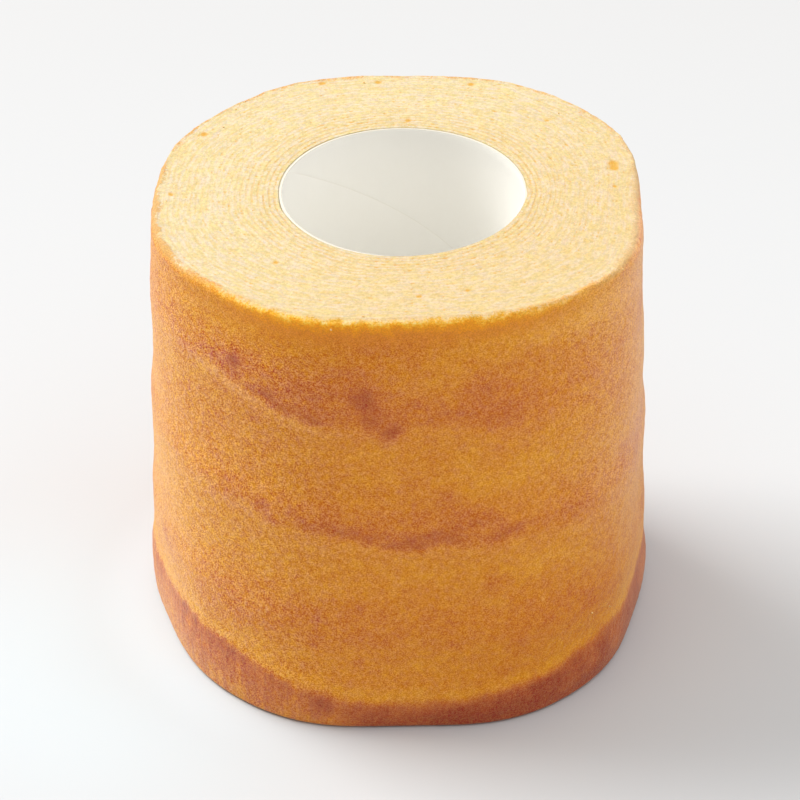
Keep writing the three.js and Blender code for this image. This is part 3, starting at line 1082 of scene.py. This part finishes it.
def floor_material():
    look = Shading("pale_floor")
    place = look.place()
    colour = look.mix(look.grain(place, 300, 2), *FLOOR_COLOURS)
    at_back = look.ease_over(look.axis(place, "Y"), BACK_REACH)
    from_warm = look.vector("DISTANCE", place, Vector(WARM_PLACE) * MM, "Value")
    from_axis = look.vector("DISTANCE", place, (0, 0, 0), "Value")
    leftward = look.ease_over(look.axis(place, "X"), PAINTED_LIGHT_SIDE_REACH)
    painted_light_share = look.times(look.ease_over(from_axis, PAINTED_LIGHT_REACH), leftward)
    # Painted shade towards the back, painted cool light against the cake's warm bounce, and painted light
    # beside the foot
    colour = look.tinted(colour, BACK_PAINTED_SHADE_TINT, at_back)
    colour = look.tinted(colour, PAINTED_COOL_LIGHT_TINT, look.ease_over(from_warm, WARM_REACH))
    colour = look.tinted(colour, PAINTED_LIGHT_TINT, painted_light_share)
    return look.finish(Base_Color=colour, Roughness=0.65, Specular_IOR_Level=0.2)


# Surroundings

def add_floor():
    side = FLOOR_SIZE / 2
    corners = [(-side, -side, 0), (side, -side, 0), (side, side, 0), (-side, side, 0)]
    floor = mesh_piece("floor", corners, [(0, 1, 2, 3)], floor_material())


def upward(bearing, elevation):
    """Unit vector that rises from the floor towards a bearing."""
    rise = math.radians(elevation)
    across, along = direction(bearing) * math.cos(rise)
    return Vector((across, along, math.sin(rise)))


def add_facing(name, content, target, way, distance):
    """An object that looks at a target from this far off along a way."""
    holder = bpy.data.objects.new(name, content)
    holder.location = (Vector(target) + way * distance) * MM
    holder.rotation_euler = (-way).to_track_quat("-Z", "Y").to_euler()
    bpy.context.scene.collection.objects.link(holder)
    return holder


def add_key():
    """The soft box faces the cake's middle."""
    lamp = bpy.data.lights.new("key", "AREA")
    lamp.size = KEY_SIZE * MM
    lamp.energy = KEY_WATTS
    middle = (0, 0, CAKE_HEIGHT / 2)
    add_facing("key", lamp, middle, upward(KEY_BEARING, KEY_ELEVATION), KEY_DISTANCE)


def add_room():
    """White light from all round that grows towards the room's glows."""
    room = bpy.data.worlds.new("room")
    room.use_nodes = True
    nodes = Nodes(room.node_tree)
    sight = nodes.add("ShaderNodeTexCoord", {}, "Generated")
    strength = ROOM_BRIGHTNESS
    for glow in ROOM_GLOWS:
        facing = nodes.vector("DOT_PRODUCT", sight, upward(glow.bearing, glow.elevation), "Value")
        share = nodes.math("MAXIMUM", facing, 0)
        strength = nodes.math("ADD", strength, nodes.times(share, glow.strength))
    nodes.fill(room.node_tree.nodes["Background"], {"Color": (1, 1, 1, 1), "Strength": strength})
    bpy.context.scene.world = room


def add_camera():
    camera = bpy.data.cameras.new("camera")
    camera.sensor_width = SENSOR_WIDTH
    camera.lens = FOCAL_PIXELS * SENSOR_WIDTH / PICTURE_WIDTH
    camera.clip_start = CLIP_START * MM
    camera.clip_end = CLIP_END * MM
    way = upward(CAMERA_BEARING, CAMERA_ELEVATION)
    bpy.context.scene.camera = add_facing("camera", camera, CAMERA_TARGET, way, CAMERA_DISTANCE)


add_camera()
add_key()
add_room()
add_floor()

cake = cake_piece(cake_material())
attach(cake, "root")
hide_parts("cake")

tube = tube_piece(paper_material())
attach(tube, "root")
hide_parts("paper_core")

crumbs = crumbs_piece(cake, crumbs_material())
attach(crumbs, "root")

bpy.context.scene.view_settings.view_transform = "Standard"
